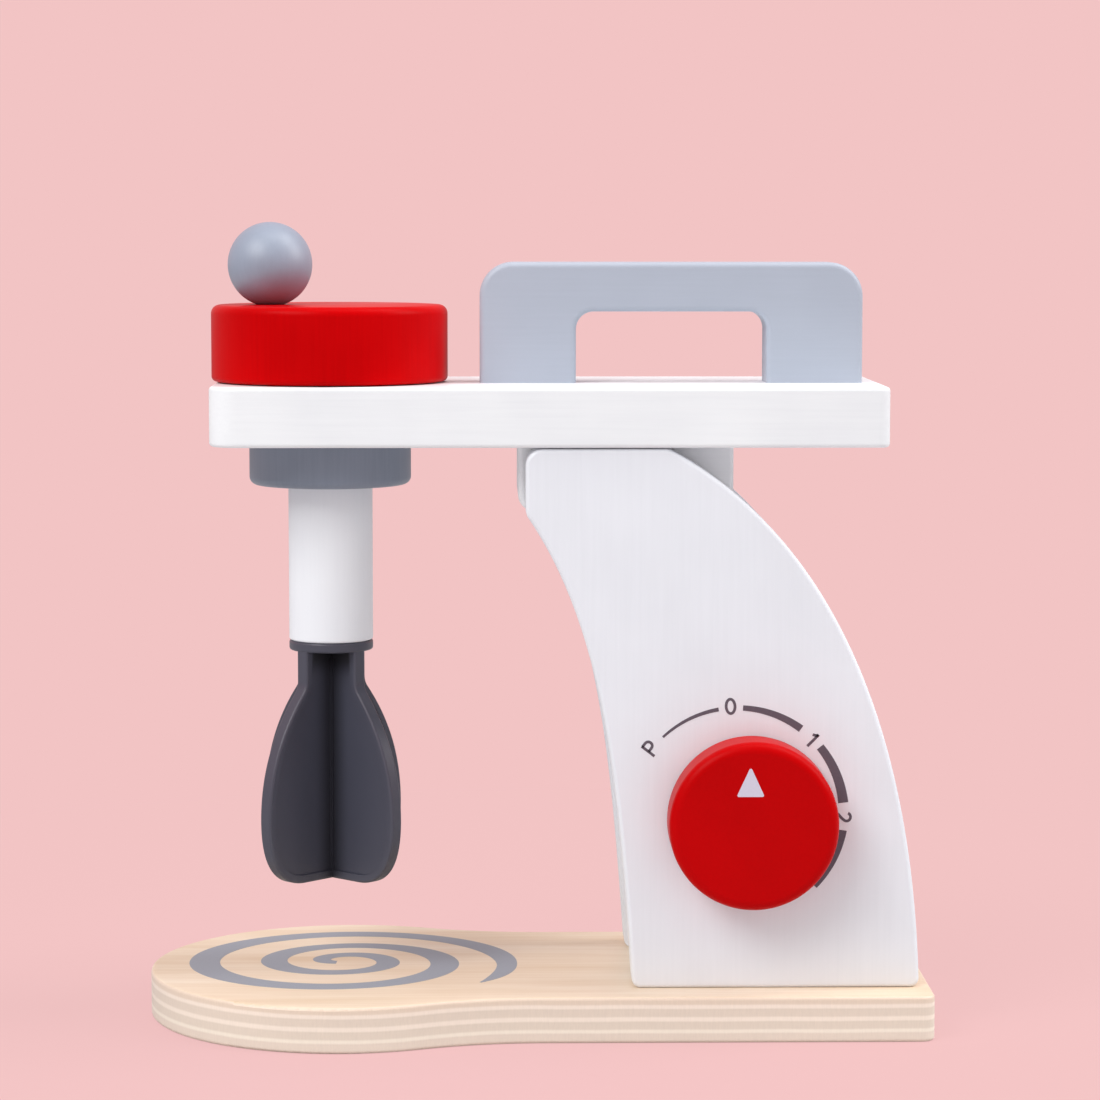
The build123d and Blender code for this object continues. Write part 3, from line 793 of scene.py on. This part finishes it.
turn = np.linspace(spiral_turns[0], spiral_turns[-1], spiral_stations)
radius = smooth_through(turn, spiral_turns, spiral_radii_mm)
angle = math.pi - 2 * math.pi * turn
spiral_path = np.stack([
    spiral_centre_mm[0] + radius * np.cos(angle),
    spiral_centre_mm[1] + radius * np.sin(angle) * spiral_depth_share,
    np.full_like(turn, base_height_mm),
], axis=1) * MM
spiral_width = smooth_through(turn, spiral_turns, band_widths_mm) * MM
printed_piece(
    "spiral_print", [ribbon(spiral_path, spiral_width, (0, 0, 1))],
    finishes["spiral_ink"], "base",
)
print("spiral reaches", round(float(radius.max()), 1), "mm from its middle")

# %% [markdown]
# ## The dial's scale
# The scale runs round the knob: a thin line that grows into a bar, broken by a letter and three
# digits that turn with it. Each arc is a ribbon on a circle with its own start and end width.

# %% Arcs of the scale
scale_centre_mm = np.array([58.1, 64.9])
scale_radius_mm = 31.3
arc_stations = 48
cheek_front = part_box("front_cheek")[0].y
frontwards = (0, -1, 0)
# Each arc: its start and end in degrees clockwise from straight up, and its width there in mm.
scale_arcs = (
    (-43.4, -9.8, 0.7, 1.15), (3.2, 36.6, 1.55, 2.2), (50.8, 83.8, 2.4, 2.95), (98.7, 132.7, 2.6, 1.6),
)


def on_front(flat_mm, depth):
    """Puts flat points (along X and Z, in millimetres) on the upright plane at a depth in metres."""
    flat = np.asarray(flat_mm, float)
    return np.stack([flat[:, 0] * MM, np.full(len(flat), depth), flat[:, 1] * MM], axis=1)


def circle_mm(degrees, radius_mm):
    """Points on a circle round the scale's centre. Degrees count clockwise from straight up."""
    turn = np.radians(np.asarray(degrees, float))
    return scale_centre_mm + radius_mm * np.stack([np.sin(turn), np.cos(turn)], axis=1)


arc_ribbons = []
for start, end, start_width_mm, end_width_mm in scale_arcs:
    arc_path = on_front(circle_mm(np.linspace(start, end, arc_stations), scale_radius_mm), cheek_front)
    arc_width = np.linspace(start_width_mm, end_width_mm, arc_stations) * MM
    arc_ribbons.append(ribbon(arc_path, arc_width, frontwards))
printed_piece("dial_scale_arcs", arc_ribbons, finishes["dial_ink"], "base")

# %% [markdown]
# Each character is a few ribbons, as a pen would draw it. A text object would bring a typeface's
# own shapes, so the strokes are drawn here. A character is drawn upright about its own middle, in
# millimetres, and then turned to its place on the circle. Its round strokes are ellipses: sides
# times the cosine, and heights times the sine.

# %% Characters of the scale
stroke_mm = 0.8
zero_half_width, zero_half_height = 1.28, 2.1
two_half_width, p_bowl_middle = 1.2, 0.2
bend_radius, bend_height = 1.15, 0.95
around = np.linspace(0, 2 * math.pi, 48, endpoint=False)
bowl = np.radians(np.linspace(90, -90, 20))
hook = np.radians(np.linspace(160, -40, 24))

zero_ring = np.stack([zero_half_width * np.cos(around), zero_half_height * np.sin(around)], axis=1)
two_hook = np.stack([two_half_width * np.cos(hook), bend_height + bend_radius * np.sin(hook)], axis=1)
p_bowl = np.stack([
    p_bowl_middle + bend_radius * np.cos(bowl),
    bend_height + bend_radius * np.sin(bowl),
], axis=1)
# Each stroke: its points, and whether it closes on itself.
strokes = {
    "zero": [(zero_ring, True)],
    "one": [([(0.45, -2.35), (0.45, 2.35)], False), ([(0.45, 2.2), (-0.05, 1.6), (-0.85, 1.15)], False)],
    "two": [
        (np.concatenate([two_hook, [(0.3, -0.55), (-0.6, -1.35), (-1.25, -2.1)]]), False),
        ([(-1.4, -2.1), (1.4, -2.1)], False),
    ],
    "letter_p": [
        ([(-1.1, -2.35), (-1.1, 2.35)], False),
        (np.concatenate([[(-1.1, 2.1), (-0.5, 2.1)], p_bowl, [(-0.5, -0.2), (-1.1, -0.2)]]), False),
    ],
}
# Each character's place: degrees clockwise from straight up, and millimetres from the centre.
character_places = {
    "letter_p": (-52.2, 31.8), "zero": (-3.4, 31.8), "one": (44.8, 31.0), "two": (91.5, 31.2),
}

for character, (degrees, radius_mm) in character_places.items():
    turn = math.radians(degrees)
    turned = np.array([[math.cos(turn), -math.sin(turn)], [math.sin(turn), math.cos(turn)]])
    middle = circle_mm([degrees], radius_mm)[0]
    lines = []
    for line, closed in strokes[character]:
        line_path = on_front(np.asarray(line, float) @ turned + middle, cheek_front)
        lines.append(ribbon(line_path, stroke_mm * MM, frontwards, closed))
    printed_piece("dial_" + character, lines, finishes["dial_ink"], "base")

# %% [markdown]
# ## The pointer on the knob
# A small white triangle is pad printed on the knob's face and turns with it. Its corners are
# slightly round, as ink settles. The outline is the triangle moved in by the corner radius, with
# an arc of that radius about each corner, and a ring of points at the face and one ink film above
# it make the sides.

# %% Pointer
knob_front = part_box("dial_knob")[0].y
pointer_corners_mm = np.array([(56.9, 72.6), (65.1, 72.6), (61.0, 81.3)])
corner_sweeps = np.radians([(153, 270), (-90, 27), (27, 153)])
corner_round_mm = 0.45
corner_points = 9

to_middle = pointer_corners_mm.mean(axis=0) - pointer_corners_mm
to_middle /= np.linalg.norm(to_middle, axis=1, keepdims=True)
corner_arcs = []
for corner, (first, last) in zip(pointer_corners_mm + 2 * corner_round_mm * to_middle, corner_sweeps):
    sweep = np.linspace(first, last, corner_points)
    corner_arcs.append(corner + corner_round_mm * np.stack([np.cos(sweep), np.sin(sweep)], axis=1))
low_ring = on_front(np.concatenate(corner_arcs), knob_front)
high_ring = low_ring + np.array(frontwards) * ink_thickness_mm * MM
count = len(low_ring)
index = np.arange(count)
follow = (index + 1) % count
sides = np.stack([index, follow, follow + count, index + count], axis=1).tolist()
pointer_faces = sides + [index[::-1].tolist(), (index + count).tolist()]
printed_piece(
    "dial_pointer", [(np.concatenate([low_ring, high_ring]), pointer_faces)],
    finishes["pointer_ink"], "dial",
)

# %% [markdown]
# ## Last step
# The looks must not change the size of the toy. The last cell brings the view layer up to date.

# %% Update
bpy.context.view_layer.update()
